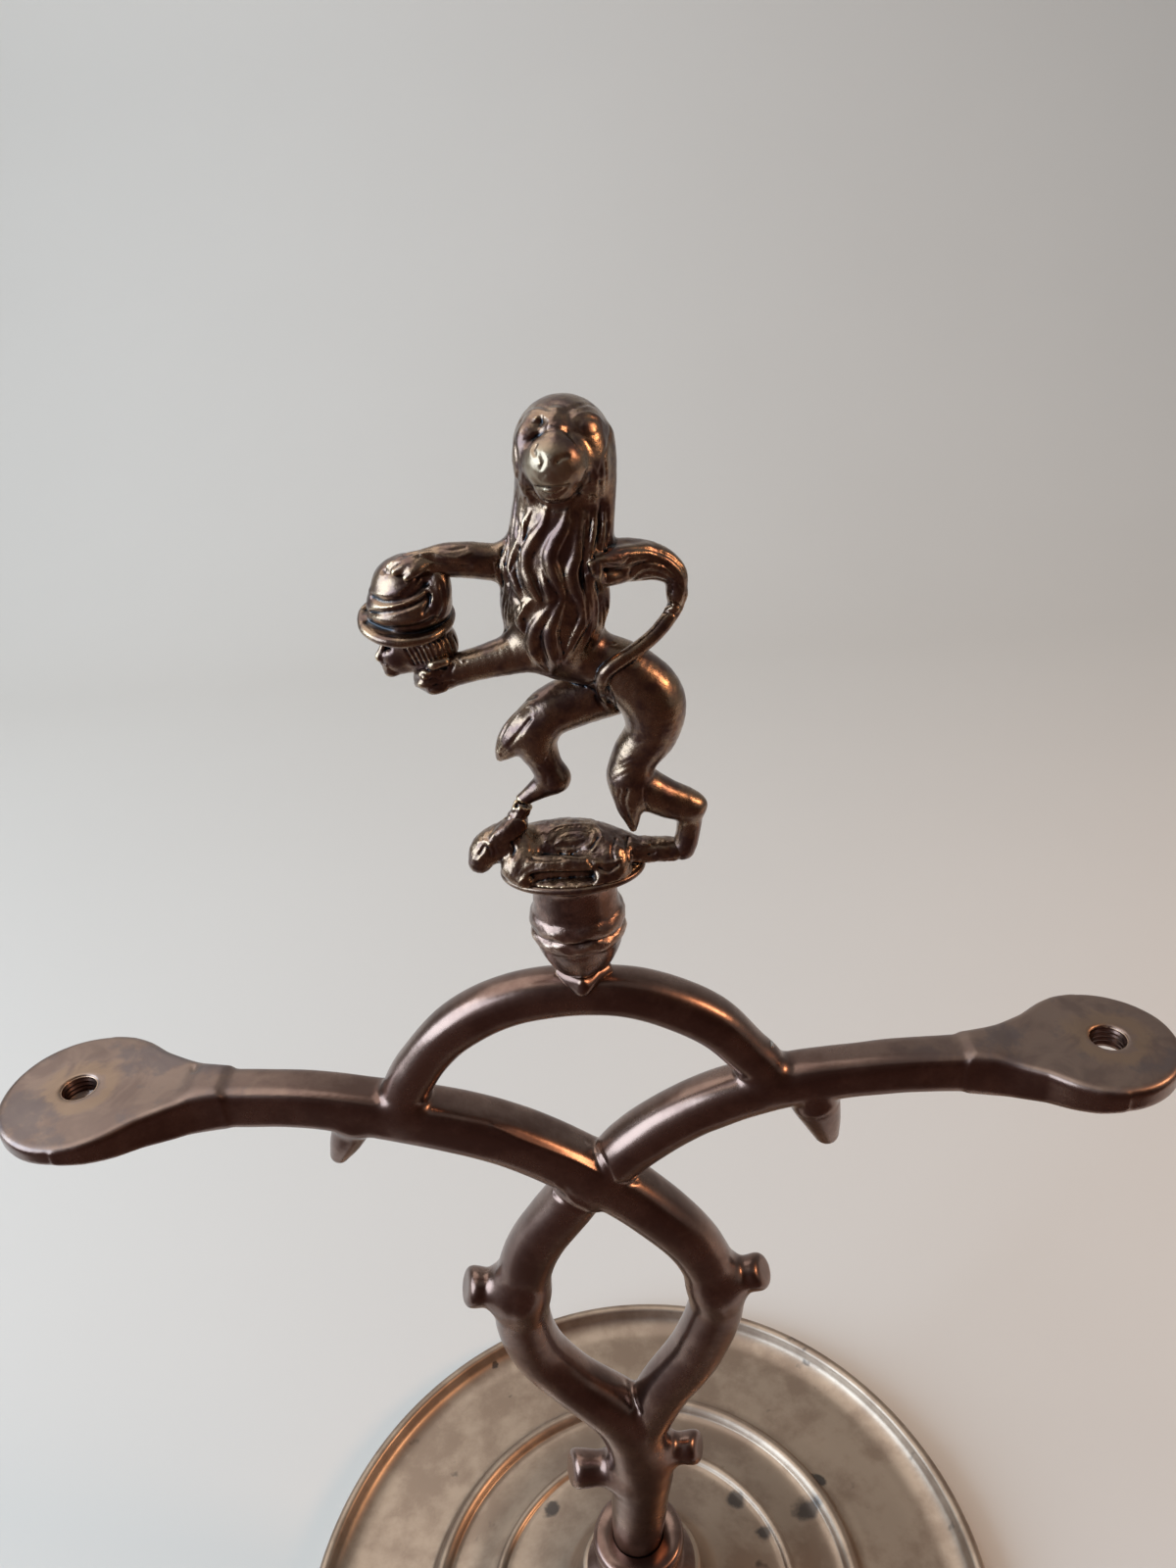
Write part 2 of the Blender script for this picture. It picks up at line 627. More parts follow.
BASE_PROFILE = runs(
    [(3.3, 27), (15.2, 27)],
    [(16.6, 26.6), (17.1, 25.4), (17.4, 23.6), (18.6, 21), (20.4, 18.4), (22.6, 16), (25.6, 14), (29.2, 12.5),
     (33, 11.2), (37.2, 10.2), (40.6, 9.75), (42.2, 9.9)],
    [(43, 10.7), (44.2, 10.9), (45.2, 10.2)],
    [(46, 9.9), (47.2, 9.5), (52, 7.8), (56, 7), (58.4, 6.95), (59.7, 7.3)],
    [(60.6, 8.6), (61.6, 9.3), (62.6, 9.4), (63.7, 8.9), (64.5, 7.6), (65.1, 6.2)],
    [(66, 5.5), (70, 5.2), (78, 5.05), (86, 5), (90.5, 5.15), (93.5, 5.9), (95.3, 7), (96.4, 8.6)],
    [(97.1, 9.6), (98.3, 10), (99.4, 9.7), (100, 8.8), (100.05, 7.4), (99.9, 4), (100, 1.2), (99.6, 0.25),
     (99, 0)],
    [(97, 0)],
    [(94.4, 1.6), (90, 2.25), (70, 3.2), (44.2, 7)],
    [(29.2, 8.9), (19, 14), (14.2, 20), (13.6, 24.2)],
    [(3.3, 24.2)],
    [(3.3, 27)])
turned_piece("base_casting", BASE_PROFILE, 420, "base", "base_brass", ["base_dish"], BASE_BRASS,
             shape=hand_turned(0.14, 3))

SOCKET_PROFILE = runs(
    [(3.3, 27.05), (15, 27.05)],
    [(15.4, 27.6), (15.2, 28.4), (14, 29.2), (12.4, 30.2), (11.2, 32), (10.6, 34), (10.7, 35.8),
     (11.1, 37.1)],
    [(11.9, 37.9), (12.5, 38.6), (12.75, 39.6), (12.6, 40.8), (12, 41.7), (11.2, 42.05)],
    [(7.2, 42.05)],
    [(7.1, 41.95), (7.1, 33.05)],
    [(3.3, 33.05)],
    [(3.3, 27.05)])
turned_piece("socket_casting", SOCKET_PROFILE, 256, "base", "stem_brass", ["stem_socket"], STEM_BRASS,
             shape=hand_turned(0.12, 5))


# stem, branches and arch
TRUNK_LINE = [(0, 0, 34, 6.95), (0, 0, 38, 6.95), (0, 0, 43, 6.95), (1.7, 0, 61, 7.9), (3, 0, 80, 8.6),
              (-1, 0, 95, 7.6), (-13, 0, 110, 6.5), (-20.4, 0, 122, 6.6), (-22.6, 0, 138, 6.8),
              (-18.6, 0, 155.5, 6.4), (-8, 0, 172, 6.2), (-1.5, 0, 181, 6)]
LEFT_LINE = [(-84, 0, 208.5, 4.9), (-61.4, 0, 206.5, 5.1), (-43.4, 0, 201.9, 5.5), (-20.7, 0, 194, 6),
             (-1.5, 0, 181, 6.3), (10, 0, 170.2, 6.3), (20.8, 0, 155, 6.2), (24.8, 0, 139, 6.6),
             (19.8, 0, 121, 6.6), (10, 0, 104, 6.5), (3, 0, 88, 6.3)]
RIGHT_LINE = [(1.2, 0, 181.4, 6), (7.6, 0, 188.8, 6.1), (22.5, 0, 198.9, 5.9), (40.5, 0, 204.9, 5.2),
              (63.5, 0, 207.3, 4.8), (84, 0, 207.1, 4.9)]
ARCH_LINE = [(-41.4, 0, 203, 5), (-40, 0, 208.2, 5.1), (-36, 0, 214.8, 5), (-27, 0, 224.4, 5.1),
             (-14.4, 0, 230.6, 5.1), (0.7, 0, 232, 5.1), (13, 0, 229.8, 5.1), (26, 0, 222.4, 5.1),
             (33.4, 0, 213.6, 4.8), (36.6, 0, 209.4, 4.9), (37.6, 0, 205.6, 4.6)]
LEFT_TWIG = [(-52.6, 0, 200, 4.6), (-55.4, 0, 194.8, 3.7), (-57.6, -0.2, 190.6, 2.3)]
RIGHT_TWIG = [(47.6, 0, 199.4, 5.4), (49.2, 0, 194, 4.1), (50.2, 0, 189.8, 2.9)]
LEFT_HOLE, LEFT_TOP = -111, 213.4       # middle of the hole in an arm's end, and the height of its top
RIGHT_HOLE, RIGHT_TOP = 108.3, 212
HOLE_RADIUS = 3.75
BAR_THICK = 9.8
EDGE = 1.5                              # radius of a disc's edges
# Distance from the disc's middle and half width, as shares of its radius, and growth to the bar.
NECK = np.array([[0, 1, 0.05], [0.3, 0.95, 0.25], [0.55, 0.82, 0.45], [0.85, 0.62, 0.7], [1.15, 0.46, 0.9],
                 [1.4, 0.34, 0.96], [1.7, 0.25, 0.88]])
NECK_END = NECK[-1, 0]


def arm_end(field, hole, disc, offset, top, radius, tip):
    """The drilled disc at the end of an arm, flat on top, with a neck that grows into the square bar."""
    inward = -np.sign(disc)
    far = disc + inward * (NECK_END + 0.05) * radius
    low = np.array([min(disc - radius, far), -radius - 1, top - 11])
    high = np.array([max(disc + radius, far), radius + 1, top + 1])
    where, (x, y, z) = field.window(low - 1, high + 1)
    along = (x - disc) * inward / radius
    growth = np.interp(along, NECK[:, 0], NECK[:, 2])
    width = np.interp(along, NECK[:, 0], NECK[:, 1]) * radius
    thick = tip + (BAR_THICK - tip) * growth
    across = np.abs(y - offset * (1 - growth))
    round_end = np.sqrt((x - disc) ** 2 + across**2) - radius
    neck = np.maximum((across - width) * 0.9, np.maximum(-along, along - NECK_END) * radius)
    side = smin(round_end, neck, 1) + EDGE
    flat = np.abs(z - (top - thick / 2)) - thick / 2 + EDGE
    outside = np.sqrt(np.maximum(side, 0) ** 2 + np.maximum(flat, 0) ** 2)
    d = outside + np.minimum(np.maximum(side, flat), 0) - EDGE
    field.merge(where, d.astype(np.float32), "add", 2.5)
    tube(field, [(hole, 0, top - 12, HOLE_RADIUS), (hole, 0, top + 2, HOLE_RADIUS)], mode="cut", k=0.5)


def stub(field, x, z, angle, length, tip):
    """A lopped branch: it swells where it leaves the rod and ends in a flat, softly rounded face."""
    way = np.array([math.cos(math.radians(angle)), 0, math.sin(math.radians(angle))])
    root = np.array([x, 0, z])
    end = root + way * length
    bud = field.patch(np.minimum(root, end) - 9, np.maximum(root, end) + 9)
    tube(bud, [[*root, tip + 2], [*(root + way * length * 0.55), tip - 0.3],
               [*(root + way * length * 0.8), tip], [*(end + way * 3), tip + 0.4]])
    ball(bud, end + way * 6, (6, 9, 9), (0, -12 * way[0] - angle, -14 * way[0]), 2.2, "cut", box=0.1)
    field.merge(bud.where, bud.d, "add", 3.5)


def twig(field, line, k, cut, angle):
    """A thin lopped twig under an arm."""
    tube(field, line, k=k)
    ball(field, cut, (6, 6, 3), (0, angle, 0), mode="cut", k=0.6, box=0.3)


stem = Field((-128.8, -20, 32.4), (123.4, 19, 238.6), 0.42)
tube(stem, TRUNK_LINE, steps=12, power=[2, 2, 2, 2, 2.1, 2.1, 2.1, 2.1, 2.1, 2.2, 2.3, 2.3])
tube(stem, LEFT_LINE, k=1.8, steps=14, power=[5, 4.8, 4, 3.2, 2.8, 2.5, 2.2, 2.1, 2.1, 2.1, 2])
right = stem.patch((-14, -12, 170), (96, 12, 220))
tube(right, RIGHT_LINE, steps=12, power=[2, 2, 2.2, 2.8, 3.8, 4.6])
stem.merge(right.where, right.d, "add", 0.5)
tube(stem, ARCH_LINE, k=2.2, steps=8, power=[2, 2.1, 2.2, 2.3, 2.3, 2.2, 2.4, 2.4, 2.2, 2.1, 2])
arm_end(stem, LEFT_HOLE, -109.7, -0.9, LEFT_TOP, 17.9, 4.6)
arm_end(stem, RIGHT_HOLE, 106.3, -0.6, RIGHT_TOP, 15.8, 5.6)
stub(stem, -22.6, 143.4, 172, 13.2, 4.9)
stub(stem, 3, 79, 2, 16, 4.2)
stub(stem, 2, 71.8, 178.5, 18.6, 4.8)
stub(stem, 24.8, 143.2, 15, 12.2, 4.3)
twig(stem, LEFT_TWIG, 2.2, (-60.6, 0, 185.8), 30)
twig(stem, RIGHT_TWIG, 1.8, (50.8, 0, 184.4), 8)
# Seams and ridges where the rods meet, each with its half width, its depth and its (x, z) points.
STEM_MARKS = [
    (0.9, 0.4, [(-1.6, 196.1), (0.4, 194.4), (1.8, 188.9), (3, 183.4)]),
    (1, 0.4, [(3.3, 183), (5.5, 182.9), (8.2, 184), (12.9, 186.1)]),
    (0.9, -0.25, [(-21.4, 201.6), (-16, 197.3), (-9.8, 193.3), (-4.7, 190.2), (0.5, 185.8)]),
    (1.2, -0.22, [(-9.1, 183.3), (-7.2, 179.8), (-4.2, 176.6), (-1.1, 174.8)]),
    (1, 0.3, [(-10.2, 181.6), (-8, 178), (-4.4, 175.2), (-0.6, 173.6)]),
    (1.8, 0.4, [(1.7, 115.3), (2.7, 109), (3.9, 104.5)]),
]
chase(stem, STEM_MARKS, EYE, -6)
ball(stem, (-85.7, 4.4, 214.2), (2, 2.4, 0.55), (0, -28, 12), mode="cut", k=0.3)    # a flaw in the casting
uneven(stem, 0.1, 20, 11)
uneven(stem, 0.02, 8, 12)
ball(stem, (0, 0, 23.7), (14, 14, 10), mode="cut", box=0.6)                         # flat foot in the socket
cast("stem_casting", stem, "branches", "stem_brass", ["trunk", "left_branch", "right_branch", "arch"],
     STEM_BRASS, relax=6)


# threads left in the arm ends, each a ring inside the disc's hole
THREAD_ROOT, THREAD_CREST = 3.66, 3.32      # radii
THREAD_STEP = 0.28
THREAD_SINK = 0.3                           # how far the ring's top is below the disc's
THREAD_LEAD = 0.3                           # how far the threads start below the ring's top
for name, hole, top, deep in (("thread_left", LEFT_HOLE, LEFT_TOP - THREAD_SINK, 4.3),
                              ("thread_right", RIGHT_HOLE, RIGHT_TOP - THREAD_SINK, 5.2)):
    steps = np.arange(0, deep - 0.6, THREAD_STEP)
    radii = [THREAD_ROOT if i % 4 < 2 else THREAD_CREST for i in range(len(steps))]
    groove = list(zip(radii, top - THREAD_LEAD - steps))
    dirt = [(1.7, top - deep + 0.5), (1.7, top - deep)] if name == "thread_left" else []
    profile = np.array([(3.95, top - 0.1), (3.72, top - 0.05), *groove, *dirt, (3.95, top - deep)])
    turned_piece(name, profile, 96, "branches", "stem_brass", [], STEM_BRASS, centre=(hole, 0))


# collar, knop and plate
collar = Field((-7.4, -7.6, 232.6), (8.8, 7.6, 240), 0.25)
ball(collar, (FINIAL[0], 0, 236.6), (4.75, 4.75, 1.9), (0, 0, 45), box=1.7)
ball(collar, (FINIAL[0], 0, 235.2), (4.1, 4.1, 2.6), (0, 0, 45), k=1.5, box=2.3)
arch_bar = collar.patch(collar.low, collar.low + 40)
tube(arch_bar, ARCH_LINE[4:7])
collar.merge(arch_bar.where, arch_bar.d - 0.05, "cut", 0)
uneven(collar, 0.14, 4, 21)
cast("collar_casting", collar, "branches", "stem_brass", ["square_collar"], STEM_BRASS)

KNOP_PROFILE = runs(
    [(2.3, 238.55), (4.6, 238.55)],
    [(5.3, 239.1), (6.3, 240.3), (7.3, 242.1), (8.1, 244), (8.5, 245.4), (8.7, 246.3)],
    [(9.15, 246.9), (9.45, 247.8), (9.4, 248.7), (9, 249.3), (8.8, 249.5)],
    [(9.2, 249.9), (9.5, 250.7), (9.45, 251.7), (9.1, 252.6), (8.7, 253.2)],
    [(8.5, 254), (8.3, 256), (8.1, 258.4), (8.2, 259.6), (8.5, 260.3)],
    [(8.2, 260.55), (2.3, 260.55)],
    [(2.3, 238.55)])


def worn_rings(angle, r, z):
    """Hand-filed unevenness, most of it on the two rings."""
    r, z = hand_turned(0.3, 8)(angle, r, z)
    share = np.exp(-((z - 249.6) / 3) ** 2) * np.clip(r - 7, 0, 1)
    chips = np.sin(5 * angle + 1.3 * z) + np.sin(9 * angle - 2.1 * z + 2) + 0.7 * np.sin(17 * angle + 2.9 * z)
    return r + 0.09 * share * chips, z + 0.22 * share * np.sin(3 * angle + 0.6)


turned_piece("knop_casting", KNOP_PROFILE, 200, "finial", "finial_brass", ["knop"], KNOP_BRASS,
             centre=FINIAL[:2], shape=worn_rings)
PLATE_BOTTOM = 260.6
PLATE_PROFILE = runs(           # radius as a share of the plate's half length or half width
    [(0.24, 0), (0.86, 0)],
    [(0.95, 0.25), (1, 0.8), (0.99, 1.5), (0.955, 1.8)],
    [(0.24, 1.8)],
    [(0.24, 0)], step=0.04)
PLATE_PROFILE[:, 1] += PLATE_BOTTOM
turned_piece("plate_casting", PLATE_PROFILE, 256, "finial", "finial_brass", ["brim_plate"], FINIAL_BRASS,
             centre=FINIAL[:2], scale=(14, 9.6))


# lion, beast and held head
def figure_cast(name, field, node, **options):
    """A figure, moved from its plate to the finial's place on the stem."""
    field.low = field.low + FINIAL
    return cast(name, field, "finial", "finial_brass", [node], FINIAL_BRASS, **options)


def locks(field, paths):
    """Locks of hair laid on the surface, each a radius and the (x, z) points of its middle line."""
    laid = [(radius, drape(field, path, FIGURE_EYE, sink=radius * 0.35)) for radius, path in paths]
    for radius, points in laid:
        along = np.linspace(0, 1, len(points))
        size = radius * np.minimum(1, 0.45 + 2.2 * along) * (1 - 0.72 * np.clip(along * 4 - 3, 0, 1))
        tube(field, np.column_stack([points, size]), k=0.3)
        crest = drape(field, points[:, [0, 2]] + [radius * 0.35, 0], FIGURE_EYE, plane=points[:, 1].mean())
        if len(crest) > 2:
            carve(field, spline(crest, 5), 0.35, 0.14)


# Chased lines of the figures: half width, depth (below 0 for a ridge) and (x, z) points from the plate.
HEAD_MARKS = [
    (0.36, 0.2, [(0.9, 84.1), (1.2, 84.9), (2.1, 85.4), (2.8, 84.8), (2.8, 83.9), (2.1, 83.4),
          (1.3, 83.6), (0.9, 84.1)]),
    (0.7, -0.18, [(-0.5, 84.6), (0.4, 85.5), (1.6, 86), (3, 85.9), (4.4, 84.5)]),
    (0.6, -0.15, [(-0.3, 82.2), (0.9, 82.4), (2.4, 82.6)]),
    (0.6, -0.15, [(3.3, 85), (4.1, 84), (3.5, 83.2)]),
    (0.8, 0.3, [(0.4, 80.9), (1.8, 82.1), (3.4, 83), (4.9, 83), (6.4, 82.4), (7.5, 81.1), (8.2, 79.8)]),
    (0.5, 0.45, [(1.5, 80.7), (1, 80), (1.3, 79.4)]),
    (0.5, 0.4, [(2.2, 79.2), (2.5, 78.2), (2, 77.2)]),
    (0.5, 0.4, [(4.5, 77.9), (5.2, 78.5), (6.1, 78.7)]),
    (0.4, 0.15, [(1.8, 75.7), (2.4, 76.1), (2.9, 76.5)]),
    (0.5, 0.55, [(1, 74.4), (2.2, 74.2), (3.5, 74), (4.8, 74), (5.9, 74.2)]),
    (0.4, 0.3, [(1.5, 73.8), (2.6, 73), (3.9, 73.1), (5.7, 73.9)]),
    (0.45, -0.2, [(2.3, 73.7), (3.4, 73.5), (4.8, 73.7)]),
    (0.6, -0.12, [(0.7, 73.1), (2.2, 72.4), (4.1, 72.4)]),
    (0.9, 0.28, [(-0.3, 73.6), (0.9, 71.9), (3.2, 70.8), (5.7, 71.1), (7.6, 72.6)]),
    (0.5, 0.11, [(8.3, 83.3), (9.3, 84.1), (10.8, 84), (11.8, 82.9), (11.2, 81.8), (9.7, 81.5),
          (8.5, 82.3), (8.3, 83.3)]),
    (0.6, -0.12, [(7.7, 84.4), (9.2, 85), (11.1, 84.6), (12.3, 83.3)]),
    (0.6, 0.16, [(12.9, 84.4), (13.2, 82.4), (12.7, 80.5), (11.9, 78.2), (11.1, 76)]),
    (0.6, 0.25, [(9.4, 75.8), (9.4, 74.5)]),
    (0.5, -0.25, [(8.7, 76.6), (9.7, 77), (10.5, 75.8), (10.3, 73.9)]),
    (0.5, -0.25, [(-0.7, 77.7), (-1, 76.3), (-0.8, 74.7)]),
    (0.7, 0.14, [(-0.9, 84.8), (0.3, 86.1), (2.3, 86.6), (4.4, 85.9), (6.3, 85.6), (8.6, 86.1),
          (10.8, 86), (12.4, 84.9)]),
    (0.5, 0.2, [(-1.6, 82), (-1.6, 79.4), (-1.6, 76.8), (-2.2, 73.7), (-3.1, 70.1)]),
]
MANE_MARKS = [
    (0.55, 0.5, [(-2.4, 78.6), (-3, 74.2), (-4, 69.8), (-5.4, 65.2), (-6.6, 61.8)]),
    (0.5, 0.45, [(-1.7, 76.4), (-2.3, 72.6), (-3.4, 68.2), (-4.9, 63.8), (-6.2, 58.8), (-7.2, 54.6)]),
    (0.5, 0.4, [(-0.9, 72.8), (-1.6, 70.2), (-2.6, 66.6), (-4.1, 62.4), (-5.4, 57.2), (-6.4, 52.6)]),
    (0.45, 0.4, [(-6.8, 60.2), (-7.8, 56.4), (-8, 52.4)]),
    (0.5, 0.4, [(12, 77.4), (11.9, 73.7), (11.7, 68.2), (11, 63.4), (10.9, 58.6)]),
    (0.55, 0.55, [(11, 74.4), (10.7, 69.6), (9.9, 65.2), (9.3, 60.2), (9.3, 55.6), (9.2, 51.2)]),
    (0.5, 0.45, [(9.6, 72.2), (9.1, 68.2), (8.3, 63.8), (7.6, 59.8)]),
    (0.45, 0.4, [(-2.5, 69.5), (-2.9, 67.1), (-2.7, 64.1), (-3.1, 61.4)]),
    (0.48, 0.42, [(-3.9, 68.3), (-4.6, 65.1), (-5.2, 62.2), (-5.1, 59.1)]),
    (0.48, 0.42, [(-4.8, 66.2), (-5.8, 63.3), (-6.4, 60.6), (-6.5, 57.3)]),
    (0.3, 0.2, [(-1.3, 69.4), (-1.5, 66.5), (-2.7, 63.1)]),
    (0.3, 0.25, [(-6.9, 63.4), (-6.3, 61.1), (-6.2, 59.2)]),
    (0.3, 0.25, [(-7.4, 63.1), (-7.3, 60.9), (-7.3, 59.6)]),
    (0.48, 0.42, [(-5.7, 57.2), (-6.6, 54.5), (-6.6, 52.2), (-7.3, 50.8)]),
    (0.3, 0.25, [(-5, 56), (-5.7, 53.8), (-7, 51)]),
    (0.48, 0.42, [(-4.2, 56.5), (-3.7, 54.8), (-4.5, 53.7), (-6.7, 51)]),
    (0.48, 0.42, [(8.3, 68.1), (7.6, 63.6), (6.9, 59.6), (7.3, 55.1), (7.2, 51.1)]),
    (0.48, 0.42, [(10.2, 68), (9.3, 63.5), (8.7, 58.9), (8.8, 53.9), (8.2, 49.9), (6.9, 46.8)]),
    (0.48, 0.42, [(11.7, 67.8), (10.9, 63.4), (10.3, 58.8), (10.6, 53.7), (10.4, 50.3), (11.3, 47.3)]),
    (0.3, 0.2, [(6.3, 53.5), (5, 50.7), (3.4, 47.6), (2, 44.8)]),
    (0.3, 0.2, [(4.1, 55.3), (3, 52.6), (2.4, 49.2), (2.7, 46.2)]),
]
TUFT_MARKS = [
    (0.45, 0.35, [(23.7, 58.3), (22.6, 60.3), (20.3, 62.1), (17.7, 63.1), (15.1, 63.3), (13.2, 63.1)]),
    (0.5, 0.45, [(23, 56.4), (21.7, 58.9), (19.4, 60.7), (17, 60.9), (15.4, 60.3), (14.7, 59)]),
    (0.45, 0.4, [(21.6, 57.1), (19.8, 58.8), (17.5, 59.3), (15.8, 58.6), (15, 57.9)]),
    (0.4, 0.35, [(20.7, 55.2), (21.2, 56.1), (20.6, 57.4), (18.7, 58.1), (16.6, 58)]),
    (0.4, -0.3, [(14.3, 63), (13.4, 61.8), (11.8, 61.6), (9.5, 62.2)]),
    (0.4, 0.35, [(14.7, 61.7), (13.8, 60.6), (12.3, 60.7), (10.4, 61.2)]),
    (0.35, 0.3, [(18.9, 61.4), (16.8, 61.8), (15, 61.7), (13.3, 60.7)]),
    (0.35, -0.25, [(22.2, 57.9), (20.2, 59.9), (18.1, 60.2), (16.2, 59.7), (15.4, 58.7)]),
    (0.4, 0.35, [(23.5, 55), (23, 53.1), (22.2, 51.7)]),
    (0.45, 0.4, [(20.4, 53.5), (21.6, 53.6), (22.9, 52.8)]),
    (0.45, -0.35, [(20.2, 52.8), (21.4, 52.8), (22.5, 52.2)]),
    (0.4, 0.35, [(20, 52.1), (21.1, 52), (22, 51.5)]),
]
THIGH_MARKS = [
    (0.5, 0.45, [(-2.8, 38.6), (-5.2, 37.5), (-7.3, 35.2), (-9.2, 32.2), (-10.5, 29)]),
    (0.45, -0.3, [(-3.9, 37.4), (-6.3, 35.3), (-8.4, 32.4), (-10.2, 28.8)]),
    (0.5, 0.4, [(-3.8, 34.7), (-5.4, 33.1), (-7, 31.2), (-8.4, 29.6), (-10, 28.2)]),
    (0.35, 0.25, [(-4.7, 36.8), (-6.9, 34.6), (-8.7, 31.7), (-10, 29.7)]),
    (0.45, -0.3, [(-3.4, 37.2), (-3.6, 34.7), (-5.6, 31.1)]),
    (0.6, 0.55, [(9.7, 39.4), (10.3, 37.4), (11, 35.1), (11.5, 33.2)]),
    (0.5, -0.4, [(8.6, 37.6), (9.6, 35.4), (10.5, 33.4)]),
    (0.5, 0.4, [(7.4, 38), (8.6, 35.6), (9.6, 33.6)]),
    (0.4, 0.25, [(5.7, 40), (7.6, 40.6), (8.7, 39.5)]),
    (0.55, 0.55, [(11.7, 19.5), (11, 17.1), (11.4, 14.5), (12, 12.2)]),
    (0.45, -0.3, [(12.5, 19.1), (11.9, 17), (12.1, 14.4), (12.4, 12.5)]),
    (0.45, 0.35, [(14.7, 19.3), (14.7, 16.8), (15.1, 14.9)]),
    (0.4, 0.3, [(10.6, 19.6), (10.1, 17.5), (10.8, 15.2)]),
    (0.35, 0.12, [(9.3, 21.5), (11.6, 22.8), (14.5, 23.6)]),
    (0.35, 0.1, [(9.1, 23), (11.4, 24), (13.6, 24.6)]),
    (0.35, 0.1, [(10.4, 24.3), (12.7, 25.5), (15.6, 26)]),
    (0.35, 0.12, [(14.2, 28.7), (15.4, 29), (16.3, 28.8)]),
    (0.5, 0.2, [(-2.1, 26.6), (-1.4, 24.1), (-0.8, 22.8)]),
    (0.35, 0.15, [(-3.7, 25.3), (-2.6, 23.8), (-2.5, 21.7)]),
]
HAT_FOLDS = [
    (0.9, 0.6, [(-27.8, 58.6), (-25.9, 57.5), (-23.2, 57.6), (-20.8, 58.4), (-18.6, 60.1)]),
    (1, -0.22, [(-28, 59.6), (-26.5, 58.9), (-23.6, 58.9), (-21.5, 59.7), (-20, 61.1)]),
    (0.8, 0.55, [(-29.1, 56.5), (-27, 55.7), (-24.1, 55.9), (-21.1, 56.7), (-18.5, 57.9)]),
    (0.9, -0.22, [(-28.8, 57.3), (-26.7, 56.5), (-24, 56.8), (-21.2, 57.5), (-18.7, 58.9)]),
    (0.7, 0.4, [(-29.5, 54.2), (-27, 53.1), (-24.2, 52.8), (-21.3, 52.9), (-18.2, 54)]),
    (0.9, -0.22, [(-29.3, 55.3), (-26.8, 54.3), (-24, 53.9), (-21.1, 54.1), (-18.3, 55.2)]),
    (0.6, 0.5, [(-25.2, 62.6), (-23, 62.8), (-21.5, 63.3), (-19.5, 64.3)]),
    (0.6, 0.5, [(-20, 62.5), (-20, 61.1), (-21.1, 59.7), (-22.7, 58.6)]),
    (0.6, 0.4, [(-18.7, 58.9), (-18.3, 57.6), (-19.2, 56), (-19.7, 55)]),
    (0.9, -0.22, [(-18.9, 63.1), (-18.2, 59.9), (-17.8, 56.7), (-17.7, 54.6)]),
    (0.6, 0.35, [(-16.2, 59.8), (-16.1, 57.4), (-16.4, 55.3), (-17.4, 53.9)]),
]
ARM_MARKS = [
    (0.5, -0.3, [(-10.7, 64.7), (-13, 63.9), (-15, 64.2), (-17, 65.2), (-19, 65.1)]),
    (0.6, 0.45, [(-11, 62.5), (-13.3, 62.8), (-15.7, 63.5), (-18.4, 64.3), (-19.3, 64.8)]),
    (0.4, 0.25, [(-11.4, 65.6), (-13.6, 65.3), (-15.8, 65.6)]),
    (0.45, 0.4, [(-21.8, 65.2), (-21, 65.1), (-19.4, 65.3)]),
    (0.45, 0.4, [(-23.6, 65.2), (-22.7, 65.5), (-21.8, 65)]),
    (0.5, -0.3, [(-24.7, 63.5), (-23.6, 64), (-21.8, 64.2), (-19.5, 65)]),
]
PAW_MARKS = [
    (0.45, 0.45, [(-21.1, 45.9), (-20, 44.7), (-18.7, 44.8), (-17.4, 45.2)]),
    (0.4, 0.4, [(-21.7, 44.1), (-20.5, 43.8), (-19.2, 44.2), (-18.4, 43.9)]),
    (0.4, 0.4, [(-21.1, 43), (-19.7, 43.4), (-18.7, 43.1)]),
    (0.4, -0.3, [(-20.7, 45.2), (-19.5, 45.1), (-18.2, 45.7), (-17.1, 45.8)]),
    (0.4, -0.3, [(-21.4, 43.5), (-20.2, 43.2), (-19.1, 43.6)]),
    (0.4, 0.3, [(-19.9, 42.2), (-18.2, 42.4), (-16.5, 42.6)]),
    (0.35, 0.25, [(-16.8, 46.7), (-16.1, 45.5), (-16.7, 44.2)]),
    (0.35, 0.25, [(-15.3, 46.6), (-14.6, 45.6), (-13.9, 46)]),
]
HAIR_MARKS = [
    (0.42, 0.42, [(-24.6 + 0.92 * i, 50.7), (-23.5 + 0.86 * i, 48.4), (-22.7 + 0.8 * i, 46.2)])
    for i in range(11)
]
